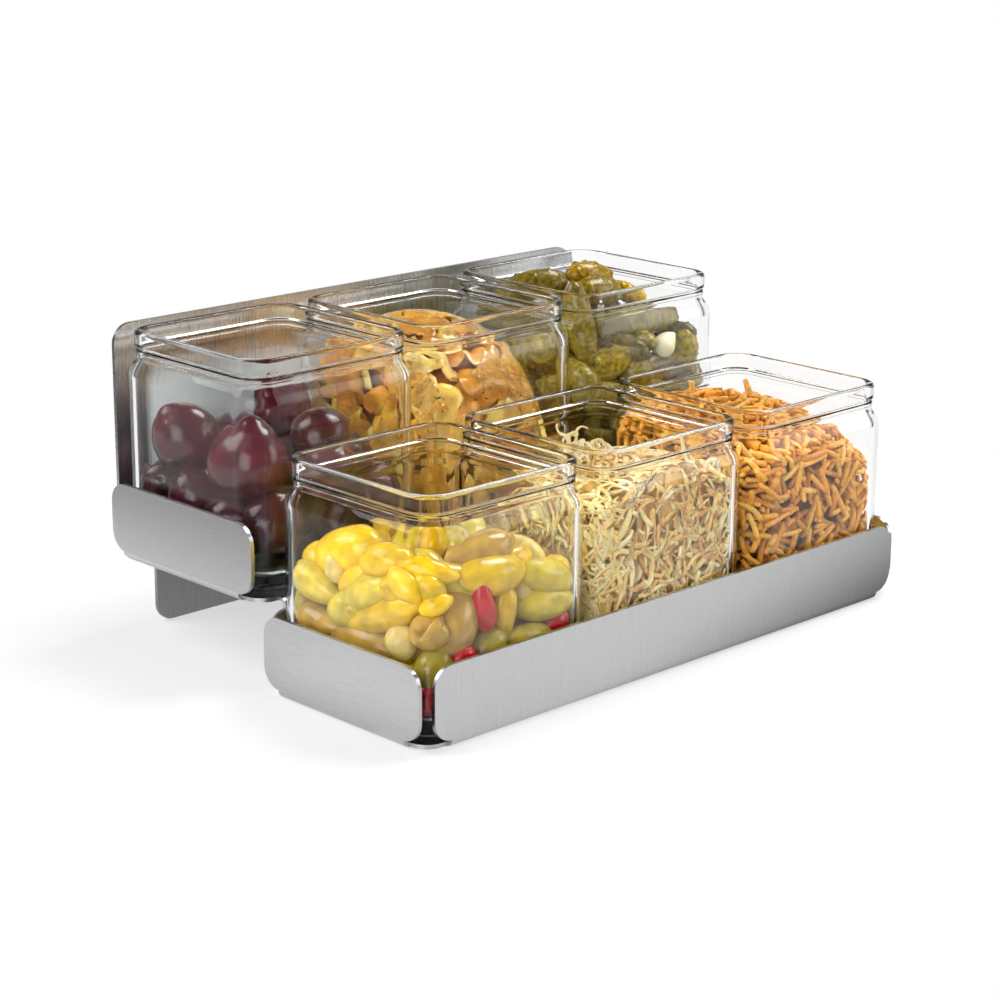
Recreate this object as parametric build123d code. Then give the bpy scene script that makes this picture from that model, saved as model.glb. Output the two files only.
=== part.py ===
from build123d import *
import os
from math import cos, radians, sin, sqrt

# Two-tier condiment station: a folded stainless steel stand with a rear support leg, and
# six square glass jars of pickles and toppings that lift straight out. Millimetres, +Z up,
# +Y towards the tall back panel, origin on the table under the middle of the stand.

# Sheet metal
sheet = 2.0              # thickness of the stainless sheet
bend_outside = 4.0       # outside radius of every fold
corner_round = 10.0      # rounding of the corners of every flap, lip and floor
lip_height = 38.5        # front lip and front side flaps, above the table
shoulder_height = 36.5   # back lip of the front tray, below the rear floor
tier_rise = 39.5         # underside of the rear floor, above the table
rear_flap_height = 38.0  # rear side flaps, above the underside of the rear floor
lip_inset = 6.0          # end of a lip, in from the outer face of the side flaps
neck_inset = 15.0        # end of the neck that joins the two tiers, from the same face
panel_inset = 9.0        # end of the back panel, from the same face
flap_relief = 4.0        # end of a side flap, from the outer face of the lip beside it
panel_relief = 8.0       # end of a rear side flap, from the back of the panel
floor_relief = 3.5       # free front edge of the rear floor, behind the neck

# Support leg under the rear floor
leg_inset = 24.5         # end of the leg, in from the outer face of the side flaps
leg_setback = 7.0        # rear face of the leg, in from the back of the panel
leg_corner = 9.0         # rounding of its two feet
leg_flange = 18.0        # depth of the flange that is spot-welded under the floor

# Glass jar
jar_width = 105.0        # across the body
jar_height = 110.0
body_corner = 16.5       # rounding of the body's upright corners
wall = 3.5
base_thickness = 6.0
rim_inset = 3.0          # rim, in from the body on each side
rim_corner = 14.0
rim_band = 8.2           # height of the rim
groove_band = 1.4        # narrow groove under the rim
groove_depth = 1.2
neck_band = 4.0          # upright band under the groove
neck_depth = 0.5         # how far that band stands in from the rim
shoulder_drop = 5.6      # height over which the shoulder widens to the body
mouth_wall = 4.3         # glass at the rim
heel_round = 5.0
rim_round = 1.8
shoulder_round = 12.0
neck_round = 3.0         # hollow between the neck and the shoulder

# Room round the jars
columns = ["left", "middle", "right"]
jar_gap = 2.5            # between neighbours
side_gap = 3.0           # jar to side flap
lip_gap = 2.0            # jar to front lip
riser_gap = 1.5          # front jar to riser
rear_jar_set = 8.5       # front of the rear jars, behind the riser's front face
panel_gap = 5.0          # rear jar to back panel

# Food: heights are shares of the room above a jar's base, and radii are multiples of these
food_gap = 0.4           # food to glass, and between pieces that are nodes of their own
beet_radius = 17.5
yellow_pepper_radius = 9.5
red_pepper_radius = 6.0
gherkin_radius = 7.8
garlic_radius = 6.4
garlic_tip = 4.2
sauerkraut_top = (-0.08, -0.49, 0.865)   # across, back and up
sauerkraut_dome = 80.0           # radius of the rounded top
crisp_stick_top = (-0.20, 0.20, 0.92)
crisp_stick_dome = 100.0
onion_top = (-0.20, 0.04, 0.93)
onion_dome = 60.0
tuft_pitch = 25.0                # tufts and bundles that stand out to the glass
tuft_radius = 7.5
tuft_length = 12.0
tuft_depth = 5.0                 # how far they stand out
tuft_sink = 0.9                  # middle of a tuft, in from the face, in radii
tuft_turn = 137.5                # degrees from the way of one to the next
petal_length = 32.0
petal_bow = 22.0                 # radius of a petal's outer face
petal_thick = 3.0
onion_inset = 8.0                # packed middle, in from the glass
beet_core = (0.62, 0.42)         # width and height of the packed middle
gherkin_core = (0.82, 0.71)
yellow_pepper_core = (0.82, 0.51)

pitch = jar_width + jar_gap
length = 2 * (sheet + side_gap) + len(columns) * pitch - jar_gap
front_row_room = lip_gap + jar_width + riser_gap
rear_row_room = rear_jar_set + jar_width + panel_gap
depth = sheet + front_row_room + rear_row_room + sheet
front_face = -depth / 2
riser_front = front_face + sheet + front_row_room
riser_back = riser_front + sheet
panel_back = depth / 2
panel_height = sheet + jar_height
front_jar_y = front_face + sheet + lip_gap + jar_width / 2
rear_jar_y = riser_front + rear_jar_set + jar_width / 2

room = jar_width / 2 - wall
room_height = jar_height - base_thickness
rim_half = jar_width / 2 - rim_inset
mouth = rim_half - mouth_wall
neck_top = jar_height - rim_band - groove_band
neck_low = neck_top - neck_band
body_top = neck_low - shoulder_drop


def quarter_bend(width):
    """Quarter of a tube along X, centred on X, for a fold whose centre is the origin."""
    ring = Circle(bend_outside) - Circle(bend_outside - sheet)
    corner = Pos(-bend_outside / 2, -bend_outside / 2) * Rectangle(bend_outside, bend_outside)
    return extrude(Plane.YZ * (ring & corner), width / 2, both=True)


def folded_wall(width, height):
    """A rounded wall folded up from a floor: outer face on y = 0, floor underside on z = 0."""
    tall = height - bend_outside
    outline = Pos(0, bend_outside + tall / 2) * RectangleRounded(width, tall, corner_round)
    upright = extrude(Plane.XZ * outline, -sheet)
    root = Pos(0, bend_outside, bend_outside) * quarter_bend(width - 2 * corner_round)
    return upright + root


def floor_plate(low_y, high_y):
    """A flat floor between the folds, with rounded corners, its underside on z = 0."""
    outline = RectangleRounded(length - 2 * bend_outside, high_y - low_y, corner_round)
    return extrude(Pos(0, (low_y + high_y) / 2) * outline, sheet)


def side_flaps(low_y, high_y, height):
    """The pair of side flaps of one tier."""
    flap = folded_wall(high_y - low_y, height)
    middle = (low_y + high_y) / 2
    left = Pos(-length / 2, middle) * Rot(0, 0, -90) * flap
    right = Pos(length / 2, middle) * Rot(0, 0, 90) * flap
    return left + right


def front_tray():
    floor = floor_plate(front_face + bend_outside, riser_back - bend_outside)
    lip = folded_wall(length - 2 * lip_inset, lip_height)
    back_lip = folded_wall(length - 2 * lip_inset, shoulder_height)
    flaps = side_flaps(front_face + flap_relief, riser_back - flap_relief, lip_height)
    return floor + flaps + Pos(0, front_face) * lip + Pos(0, riser_back) * Rot(0, 0, 180) * back_lip


def neck():
    """Rises from the back lip and folds back into the rear floor."""
    width = length - 2 * neck_inset
    top = tier_rise + sheet - bend_outside
    low = shoulder_height - corner_round
    plate = Pos(0, riser_front + sheet / 2, (low + top) / 2) * Box(width, sheet, top - low)
    fold = Pos(0, riser_front + bend_outside, top) * Rot(-90, 0, 0) * quarter_bend(width)
    tongue_start = riser_front + bend_outside
    tongue_end = riser_back + floor_relief + corner_round
    tongue = Pos(0, (tongue_start + tongue_end) / 2, tier_rise + sheet / 2) * Box(
        width, tongue_end - tongue_start, sheet)
    return plate + fold + tongue


def rear_tier():
    floor = floor_plate(riser_back + floor_relief, panel_back - bend_outside)
    panel = folded_wall(length - 2 * panel_inset, panel_height)
    flaps = side_flaps(riser_back + flap_relief, panel_back - panel_relief, rear_flap_height)
    return Pos(0, 0, tier_rise) * (floor + flaps + Pos(0, panel_back) * Rot(0, 0, 180) * panel)


def stand():
    return front_tray() + neck() + rear_tier()


def support_leg():
    width = length - 2 * leg_inset
    back = panel_back - leg_setback
    plate_top = tier_rise - bend_outside
    outline = Rectangle(width, plate_top, align=(Align.CENTER, Align.MIN))
    feet = outline.vertices().filter_by_position(Axis.Y, -0.1, 0.1)
    plate = Pos(0, back) * extrude(Plane.XZ * fillet(feet, leg_corner), sheet)
    fold = Pos(0, back - bend_outside, plate_top) * Rot(180, 0, 0) * quarter_bend(width)
    flange = Pos(0, back - bend_outside - leg_flange / 2, tier_rise - sheet / 2) * Box(
        width, leg_flange, sheet)
    return plate + fold + flange


def slab(half, corner, low, high):
    """An upright square bar with rounded corners."""
    outline = RectangleRounded(2 * half, 2 * half, corner)
    return Pos(0, 0, low) * extrude(outline, high - low)


def taper(low_half, low_corner, low, high_half, high_corner, high):
    """A square bar that narrows from one height to another."""
    first = Pos(0, 0, low) * RectangleRounded(2 * low_half, 2 * low_half, low_corner)
    last = Pos(0, 0, high) * RectangleRounded(2 * high_half, 2 * high_half, high_corner)
    return loft([first, last], ruled=True)


def edges_at(solid, height):
    return solid.edges().filter_by_position(Axis.Z, height - 0.01, height + 0.01)


def jar_outside():
    neck_half = rim_half - neck_depth
    body = slab(jar_width / 2, body_corner, 0, body_top)
    shoulder = taper(jar_width / 2, body_corner, body_top, neck_half, rim_corner, neck_low)
    band = slab(neck_half, rim_corner, neck_low, neck_top)
    groove = slab(rim_half - groove_depth, rim_corner, neck_top, neck_top + groove_band)
    rim = slab(rim_half, rim_corner, neck_top + groove_band, jar_height)
    solid = body + shoulder + band + groove + rim
    solid = fillet(edges_at(solid, 0), heel_round)
    solid = fillet(edges_at(solid, body_top), shoulder_round)
    solid = fillet(edges_at(solid, neck_low), neck_round)
    return fillet(edges_at(solid, jar_height), rim_round)


def cavity(clearance, top):
    """The space inside a jar, drawn in from the glass by a clearance."""
    half = room - clearance
    neck_half = mouth - clearance
    body_low_corner = body_corner - wall - clearance
    neck_corner = rim_corner - mouth_wall - clearance
    body = slab(half, body_low_corner, base_thickness, body_top - wall / 2)
    shoulder = taper(half, body_low_corner, body_top - wall / 2, neck_half, neck_corner, neck_low)
    throat = slab(neck_half, neck_corner, neck_low, top)
    solid = body + shoulder + throat
    return fillet(edges_at(solid, base_thickness), heel_round + 2 * clearance)


def jar():
    glass = jar_outside() - cavity(0, jar_height + 1)
    rim_top = glass.faces().sort_by(Axis.Z)[-1]
    return fillet(rim_top.inner_wires()[0].edges(), rim_round)


def drop(start, end, start_radius, end_radius):
    """A rounded body of revolution that tapers from one ball to another."""
    run = Vector(*end) - Vector(*start)
    reach = run.length
    slope = (start_radius - end_radius) / reach
    level = sqrt(1 - slope * slope)
    pole = (0, -start_radius)
    low = (start_radius * level, start_radius * slope)
    high = (end_radius * level, reach + end_radius * slope)
    tip = (0, reach + end_radius)
    middle = sqrt(0.5 * (1 - slope))
    low_middle = (start_radius * sqrt(1 - middle * middle), -start_radius * middle)
    rise = sqrt(0.5 * (1 + slope))
    high_middle = (end_radius * sqrt(1 - rise * rise), reach + end_radius * rise)
    profile = ThreePointArc(pole, low_middle, low) + Line(low, high)
    profile += ThreePointArc(high, high_middle, tip) + Line(tip, pole)
    body = revolve(Plane.XZ * make_face(profile), Axis.Z)
    return Plane(origin=start, z_dir=run) * body


def spot(across, back, up):
    """A place in a jar: shares of the half room across and back, and of the room's height."""
    return (across * room, back * room, base_thickness + up * room_height)


def dome(top, radius):
    """The ball whose upper side is the rounded top of a heap, with its highest point at a spot."""
    x, y, z = spot(*top)
    return Pos(x, y, z - radius) * Sphere(radius)


def dome_height(top, radius, x, y):
    middle_x, middle_y, z = spot(*top)
    away = (x - middle_x) ** 2 + (y - middle_y) ** 2
    return z - radius + sqrt(max(radius * radius - away, 0))


def tuft_places(top, radius):
    """Staggered rows along the four sides, and a grid over the top: a middle and the face's two ways."""
    places = []
    side = room - tuft_sink * tuft_radius
    upward = Vector(0, 0, 1)
    for turn in (0, 90, 180, 270):
        along = Vector(0, 1, 0).rotate(Axis.Z, turn)
        for column in range(4):
            foot = Vector(side, (column - 1.5) * tuft_pitch, base_thickness).rotate(Axis.Z, turn)
            for row in range(4):
                middle = foot + upward * (row + 0.5 + 0.5 * (column % 2)) * tuft_pitch
                if middle.Z < dome_height(top, radius, middle.X, middle.Y) - tuft_radius:
                    places.append((middle, along, upward))
    for column in (-1, 0, 1):
        for row in (-1, 0, 1):
            x, y = column * tuft_pitch, (row + 0.3 * column) * tuft_pitch
            middle = Vector(x, y, dome_height(top, radius, x, y) - tuft_sink * tuft_radius)
            places.append((middle, Vector(1, 0, 0), Vector(0, 1, 0)))
    return places


def heap(top, radius):
    """Loose food with a rounded top: a packed middle, and tufts that stand out to the glass."""
    middle = slab(room - tuft_depth, heel_round, base_thickness + food_gap, jar_height)
    pile = middle & Pos(0, 0, -tuft_depth) * dome(top, radius)
    tufts = []
    for index, (place, along, across) in enumerate(tuft_places(top, radius)):
        lean = radians(tuft_turn * index)
        reach = (along * cos(lean) + across * sin(lean)) * (tuft_length / 2)
        tufts.append(drop(tuple(place - reach), tuple(place + reach), tuft_radius, tuft_sink * tuft_radius))
    return (pile + tufts) & cavity(food_gap, jar_height)


def petal(place, lie, out):
    """A cupped slice: a piece of a thick shell, bowed outward."""
    shell = Sphere(petal_bow) - Sphere(petal_bow - petal_thick)
    blade = extrude(SlotOverall(petal_length, petal_length / 2), petal_bow)
    plane = Plane(origin=place, x_dir=lie, z_dir=out)
    return plane * Pos(0, 0, -petal_bow) * (shell & blade)


def onion_slices():
    places = [
        ((-0.24, 0.41, 0.89), (1.0, -0.4, 0.0), (0.0, 0.0, 1.0)),
        ((-0.04, 0.16, 0.92), (0.9, -0.6, 0.0), (0.0, 0.0, 1.0)),
        ((0.16, -0.16, 0.88), (0.6, -0.7, -0.3), (0.3, -0.2, 1.0)),
        ((-0.37, -0.24, 0.89), (0.8, -0.3, 0.1), (0.0, 0.0, 1.0)),
        ((-0.16, -0.41, 0.85), (0.7, 0.5, -0.1), (0.0, -0.5, 1.0)),
        ((-0.53, 0.08, 0.88), (0.2, 1.0, 0.0), (-0.4, 0.0, 1.0)),
        ((-0.08, -0.92, 0.73), (0.3, 0.0, 1.0), (0.0, -1.0, 0.0)),
        ((-0.35, -0.94, 0.62), (0.4, 0.0, 1.0), (0.0, -1.0, 0.0)),
        ((0.39, -0.90, 0.60), (0.2, 0.0, 1.0), (0.3, -1.0, 0.2)),
        ((0.57, -0.94, 0.52), (1.0, 0.0, -0.3), (0.0, -1.0, 0.0)),
        ((-0.94, -0.73, 0.67), (0.0, 1.0, 0.5), (-1.0, 0.0, 0.0)),
        ((-0.88, -0.44, 0.77), (0.0, 1.0, -0.4), (-1.0, 0.0, 0.0)),
    ]
    middle = slab(room - onion_inset, heel_round, base_thickness + food_gap, jar_height)
    pile = middle & Pos(0, 0, -onion_inset) * dome(onion_top, onion_dome)
    pile += [petal(spot(*place), lie, out) for place, lie, out in places]
    return pile & cavity(food_gap, jar_height)


def core(width_share, height_share):
    """The packed middle of a jarful, which the pieces along the glass stand out from."""
    return slab(room * width_share, heel_round, base_thickness, base_thickness + room_height * height_share)


def beets():
    places = [
        (-0.65, 0.45, 0.52, (-0.5, 0.2, 0.8), 0.91), (-0.61, -0.43, 0.49, (0.1, 0.1, 1.0), 1.00),
        (0.16, -0.55, 0.55, (1.0, -0.1, 0.2), 0.77), (0.12, -0.67, 0.40, (1.0, 0.2, -0.1), 0.83),
        (-0.67, 0.71, 0.29, (0.2, 1.0, 0.3), 0.86), (-0.67, 0.24, 0.25, (-0.2, 0.3, 1.0), 0.89),
        (-0.63, -0.24, 0.18, (0.3, 1.0, 0.4), 0.91), (-0.55, -0.69, 0.22, (0.4, 0.2, 1.0), 0.83),
        (0.20, -0.71, 0.14, (0.2, -0.1, 1.0), 0.80), (0.63, -0.24, 0.37, (0.3, 1.0, 0.5), 0.94),
        (0.57, 0.53, 0.27, (1.0, 0.4, 0.3), 0.97), (0.00, 0.53, 0.40, (0.4, 0.6, 0.6), 0.97),
        (0.65, 0.61, 0.54, (0.3, 0.3, 1.0), 0.83), (0.69, -0.69, 0.23, (0.1, 0.3, 1.0), 0.83),
        (-0.24, 0.69, 0.13, (1.0, 0.1, 0.1), 0.89), (0.71, 0.04, 0.13, (0.1, 0.9, 0.4), 0.83),
    ]
    pods = []
    for across, back, up, crown, size in places:
        radius = size * beet_radius
        middle = Vector(*spot(across, back, up))
        lie = Vector(*crown).normalized() * radius
        pods.append(drop(tuple(middle - 0.15 * lie), tuple(middle + 0.45 * lie), radius, 0.70 * radius))
    return (core(*beet_core) + pods) & cavity(food_gap, jar_height)


def gherkins():
    places = [
        ((-0.66, -0.56, 0.96), (-0.60, -0.60, 0.69)), ((-0.72, -0.50, 0.53), (-0.12, -0.72, 0.63)),
        ((0.10, 0.20, 0.97), (0.42, 0.16, 0.95)), ((0.20, -0.06, 0.88), (0.30, 0.40, 0.85)),
        ((-0.05, -0.38, 0.70), (0.74, -0.56, 0.73)), ((0.11, -0.80, 0.65), (0.11, -0.20, 0.62)),
        ((0.64, -0.82, 0.66), (0.60, -0.80, 0.58)), ((0.00, -0.82, 0.50), (0.70, -0.78, 0.56)),
        ((-0.44, 0.44, 0.92), (-0.20, 0.18, 0.88)), ((-0.50, 0.00, 0.77), (0.40, 0.55, 0.79)),
        ((-0.60, 0.50, 0.73), (0.30, -0.10, 0.71)), ((-0.30, 0.70, 0.63), (0.70, 0.30, 0.67)),
    ]
    pods = [drop(spot(*start), spot(*end), gherkin_radius, 0.85 * gherkin_radius) for start, end in places]
    pile = core(*gherkin_core) + pods
    clove_space = drop(*garlic_ends(), garlic_radius + food_gap, garlic_tip + food_gap)
    return (pile - clove_space) & cavity(food_gap, jar_height + gherkin_radius)


def garlic_ends():
    return spot(0.24, -0.84, 0.61), spot(0.33, -0.86, 0.67)


def garlic_clove():
    return drop(*garlic_ends(), garlic_radius, garlic_tip) & cavity(food_gap, jar_height)


def red_pepper_drops(clearance):
    places = [
        ((-0.17, -0.82, 0.39), (-0.19, -0.84, 0.48), 1.07, 0.83),
        ((-0.30, -0.22, 0.64), (-0.06, -0.10, 0.66), 0.83, 0.67),
        ((0.62, -0.82, 0.23), (0.78, -0.80, 0.26), 1.00, 0.75),
        ((-0.78, -0.80, 0.08), (-0.76, -0.84, 0.23), 1.17, 0.83),
    ]
    pods = Part()
    for start, end, size, tip in places:
        radius = size * red_pepper_radius + clearance
        pods += drop(spot(*start), spot(*end), radius, tip * red_pepper_radius + clearance)
    return pods


def red_peppers():
    return red_pepper_drops(0) & cavity(food_gap, jar_height)


def yellow_peppers():
    places = [
        ((-0.70, 0.55, 0.58), (-0.45, 0.10, 0.58), 1.16), ((-0.74, -0.10, 0.50), (-0.60, -0.52, 0.42), 1.05),
        ((-0.50, -0.72, 0.44), (-0.10, -0.78, 0.45), 0.89), ((-0.10, -0.40, 0.54), (0.42, -0.52, 0.52), 1.05),
        ((0.30, -0.20, 0.58), (0.65, 0.00, 0.60), 0.95), ((0.72, -0.50, 0.48), (0.40, -0.70, 0.44), 0.95),
        ((-0.30, 0.30, 0.56), (0.20, 0.20, 0.58), 1.00), ((0.55, 0.40, 0.56), (0.10, 0.65, 0.54), 1.00),
        ((-0.66, 0.70, 0.52), (-0.20, 0.72, 0.48), 1.00), ((-0.35, -0.10, 0.55), (-0.25, -0.35, 0.55), 0.84),
    ]
    pods = []
    for start, end, size in places:
        radius = size * yellow_pepper_radius
        pods.append(drop(spot(*start), spot(*end), radius, 0.6 * radius))
    pile = core(*yellow_pepper_core) + pods
    return (pile - red_pepper_drops(food_gap)) & cavity(food_gap, jar_height)


os.makedirs("parts", exist_ok=True)

jar_glass = jar()
rows = {"front": (front_jar_y, sheet), "rear": (rear_jar_y, tier_rise + sheet)}
contents = {
    ("front", "left"): {"yellow_peppers": yellow_peppers(), "red_peppers": red_peppers()},
    ("front", "middle"): {"sauerkraut": heap(sauerkraut_top, sauerkraut_dome)},
    ("front", "right"): {"crisp_sticks": heap(crisp_stick_top, crisp_stick_dome)},
    ("rear", "left"): {"beets": beets()},
    ("rear", "middle"): {"onion_slices": onion_slices()},
    ("rear", "right"): {"gherkins": gherkins(), "garlic_clove": garlic_clove()},
}
nodes = {"stand": stand(), "support_leg": support_leg()}
for (row, column), foods in contents.items():
    x = (columns.index(column) - (len(columns) - 1) / 2) * pitch
    y, z = rows[row]
    nodes[f"jar_{row}_{column}"] = Pos(x, y, z) * jar_glass
    for name, food in foods.items():
        nodes[name] = Pos(x, y, z) * food

for name, solid in nodes.items():
    export_step(solid, f"parts/{name}.step")
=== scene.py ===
import math

import bpy
import numpy as np
from mathutils import Matrix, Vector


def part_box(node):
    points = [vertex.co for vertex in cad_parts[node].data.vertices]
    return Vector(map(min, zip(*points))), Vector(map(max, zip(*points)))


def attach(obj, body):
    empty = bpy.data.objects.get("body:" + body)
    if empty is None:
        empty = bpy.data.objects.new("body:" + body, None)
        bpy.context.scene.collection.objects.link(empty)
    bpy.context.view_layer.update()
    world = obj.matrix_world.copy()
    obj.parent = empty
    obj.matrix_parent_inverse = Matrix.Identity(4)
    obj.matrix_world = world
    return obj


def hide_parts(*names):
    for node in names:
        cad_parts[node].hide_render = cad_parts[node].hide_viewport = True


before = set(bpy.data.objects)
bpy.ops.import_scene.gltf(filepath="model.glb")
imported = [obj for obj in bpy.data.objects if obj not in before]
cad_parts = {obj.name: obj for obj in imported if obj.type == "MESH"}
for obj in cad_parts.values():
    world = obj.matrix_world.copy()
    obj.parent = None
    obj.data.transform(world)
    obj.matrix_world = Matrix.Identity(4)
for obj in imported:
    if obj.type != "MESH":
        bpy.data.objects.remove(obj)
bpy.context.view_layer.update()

# The stand: one 2 mm sheet of stainless steel, laser cut flat and folded up into two trays and a
# tall back. The mill brushed it from front to back before it was cut, so the grain runs up the
# lips and the panel, and along the side flaps.
MM = 0.001
scratch_width = 0.5      # real scratches are near 0.05 mm, too fine to show, so they are drawn coarser
scratch_length = 45.0
panel_from = 105.0       # the panel is what lies behind this
worn_from = -12.0        # a painted reflection, pale matt paint, lies on what faces the jars behind this,
worn_top = 124.0         # up to this height
worn_ends = 135.5        # and up to this far from the middle


def linear(code):
    """An sRGB hex colour as linear RGBA."""
    parts = [int(code[i:i + 2], 16) / 255 for i in (1, 3, 5)]
    return [c / 12.92 if c <= 0.04045 else ((c + 0.055) / 1.055) ** 2.4 for c in parts] + [1.0]


def add(tree, kind, inputs=None, **settings):
    """Adds a node with its settings. Each input is a value, or the socket that feeds it."""
    made = tree.nodes.new(kind)
    for name, value in settings.items():
        setattr(made, name, value)
    for key, value in (inputs or {}).items():
        if isinstance(value, bpy.types.NodeSocket):
            tree.links.new(value, made.inputs[key])
        else:
            made.inputs[key].default_value = value
    return made


def new_material(name):
    made = bpy.data.materials.new(name)
    made.use_nodes = True
    made.node_tree.nodes.clear()
    return made, made.node_tree


def brushed_stainless(name, light, dark, wear=0.0):
    """Fine long scratches give soft streaks along the grain and draw reflections out across it.

    Behind the jars, on what faces them, pale matt paint is mixed into the steel: a painted reflection
    of the bright room, which takes the lamps' light as matt paint does."""
    made, tree = new_material(name)
    place = add(tree, "ShaderNodeSeparateXYZ", {0: add(tree, "ShaderNodeTexCoord").outputs["Object"]})
    facing = add(tree, "ShaderNodeSeparateXYZ", {0: add(tree, "ShaderNodeNewGeometry").outputs["Normal"]})
    sideways = add(tree, "ShaderNodeMath", {0: facing.outputs["X"]}, operation="ABSOLUTE")
    on_flap = add(tree, "ShaderNodeMath", {0: sideways.outputs[0], 1: 0.6}, operation="GREATER_THAN").outputs[0]
    across = add(tree, "ShaderNodeMix", {0: on_flap, 2: place.outputs["X"], 3: place.outputs["Z"]})
    along = add(tree, "ShaderNodeMath", {0: place.outputs["Y"], 1: place.outputs["Z"]}, operation="ADD")
    flap_along = add(tree, "ShaderNodeMix", {0: on_flap, 2: along.outputs[0], 3: place.outputs["Y"]})
    fine = add(tree, "ShaderNodeMath", {0: across.outputs[0], 1: 1 / (scratch_width * MM)},
               operation="MULTIPLY")
    slow = add(tree, "ShaderNodeMath", {0: flap_along.outputs[0], 1: 1 / (scratch_length * MM)},
               operation="MULTIPLY")
    grain = add(tree, "ShaderNodeCombineXYZ", {"X": fine.outputs[0], "Y": slow.outputs[0]}).outputs[0]
    scratches = add(tree, "ShaderNodeTexNoise", {"Vector": grain, "Scale": 1.0, "Detail": 4.0,
                                                 "Roughness": 0.65}).outputs[0]
    colour = add(tree, "ShaderNodeMix", {0: scratches, 6: linear(dark), 7: linear(light)}, data_type="RGBA")
    rough = add(tree, "ShaderNodeMapRange", {0: scratches, 3: 0.24, 4: 0.32})
    on_panel = add(tree, "ShaderNodeMath", {0: place.outputs["Y"], 1: panel_from * MM},
                   operation="GREATER_THAN")
    drawn_out = add(tree, "ShaderNodeMapRange", {0: on_panel.outputs[0], 3: 0.85, 4: 0.35})
    bump = add(tree, "ShaderNodeBump", {"Height": scratches, "Strength": 0.04, "Distance": 0.02 * MM})
    spread = add(tree, "ShaderNodeCombineXYZ", {
        "X": add(tree, "ShaderNodeMath", {0: 1.0, 1: on_flap}, operation="SUBTRACT").outputs[0], "Z": on_flap})
    steel = add(tree, "ShaderNodeBsdfPrincipled", {
        "Base Color": colour.outputs[2], "Metallic": 1.0, "Roughness": rough.outputs[0],
        "Anisotropic": drawn_out.outputs[0], "Tangent": spread.outputs[0], "Normal": bump.outputs[0]})
    # Painted reflection: on what faces the jars behind them, pale matt paint stands in for the bright room.
    behind_jars = add(tree, "ShaderNodeMapRange", {
        0: place.outputs["Y"], 1: (worn_from - 2) * MM, 2: (worn_from + 2) * MM, 3: 0.0, 4: wear})
    low_enough = add(tree, "ShaderNodeMapRange", {
        0: place.outputs["Z"], 1: (worn_top - 6) * MM, 2: (worn_top + 6) * MM, 3: 1.0, 4: 0.0})
    from_middle = add(tree, "ShaderNodeMath", {0: place.outputs["X"]}, operation="ABSOLUTE")
    between_ends = add(tree, "ShaderNodeMapRange", {
        0: from_middle.outputs[0], 1: (worn_ends - 2.5) * MM, 2: (worn_ends + 2.5) * MM, 3: 1.0, 4: 0.0})
    faces_jars = add(tree, "ShaderNodeMath", {0: facing.outputs["Y"], 1: -0.7}, operation="LESS_THAN")
    scuffed = behind_jars.outputs[0]
    for share in (low_enough, faces_jars, between_ends):
        both = add(tree, "ShaderNodeMath", {0: scuffed, 1: share.outputs[0]}, operation="MULTIPLY")
        scuffed = both.outputs[0]
    scuffs = add(tree, "ShaderNodeBsdfDiffuse", {"Color": linear("#ECEEF0")})
    worn = add(tree, "ShaderNodeMixShader", {0: scuffed, 1: steel.outputs[0], 2: scuffs.outputs[0]})
    add(tree, "ShaderNodeOutputMaterial", {"Surface": worn.outputs[0]})
    return made


def finish_node(node, material):
    """Gives a CAD node that keeps its own shape its finish."""
    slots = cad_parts[node].data.materials
    slots.clear()
    slots.append(material)
    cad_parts[node].data.shade_smooth()


finish_node("stand", brushed_stainless("brushed_stainless_sheet", light="#D0D0D0", dark="#BABABB", wear=0.85))

# The support leg: a second folded plate with rounded feet, spot-welded under the rear floor. It is
# the same brushed stainless steel, drawn darker because it stands in the tray's own shade.
finish_node("support_leg", brushed_stainless("brushed_stainless_leg", light="#A0A0A0", dark="#8A8A8B"))

# The jars: pressed soda-lime glass, square with rounded corners, with a shoulder, a neck band, a
# narrow groove and a flat-topped rim. The inside follows the outside, a wall's thickness in.
columns = ["left", "middle", "right"]
corner_steps, side_steps = 12, 7       # faces round each corner and along each side
body_half, body_corner = 52.5, 16.5    # half widths and corner radii, in mm
neck_half, neck_corner = 48.8, 13.6
band_half, band_corner = 49.1, 13.8
groove_half, groove_corner = 48.1, 13.2
rim_half, rim_corner = 49.5, 14.0
room_half, room_corner = 49.0, 13.0    # the inside of the body
mouth_half, mouth_corner = 45.2, 9.7   # the inside of the neck
jar_height = 110.0
base_level = 6.0                       # the inside of the base
outside_run = [          # half width, height, corner radius and rounding of each turn of the section
    (0.0, 1.2, 0.0, 0.0), (36.0, 1.2, 12.0, 1.5), (40.0, 0.0, 14.0, 2.0),
    (body_half, 0.0, body_corner, 5.5), (body_half, 90.8, body_corner, 12.0),
    (neck_half, 96.6, neck_corner, 3.0), (neck_half, 98.8, neck_corner, 0.5),
    (band_half, 99.2, band_corner, 0.4), (band_half, 100.5, band_corner, 0.5),
    (groove_half, 100.9, groove_corner, 0.5), (groove_half, 101.7, groove_corner, 0.5),
    (rim_half, 102.2, rim_corner, 0.9), (rim_half, jar_height, rim_corner, 2.2),
]
inside_run = [
    (mouth_half, jar_height, mouth_corner, 2.0), (mouth_half, 96.4, mouth_corner, 6.0),
    (room_half, 89.0, room_corner, 10.0), (room_half, base_level, room_corner, 7.5),
    (0.0, base_level, 0.0, 0.0),
]


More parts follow.
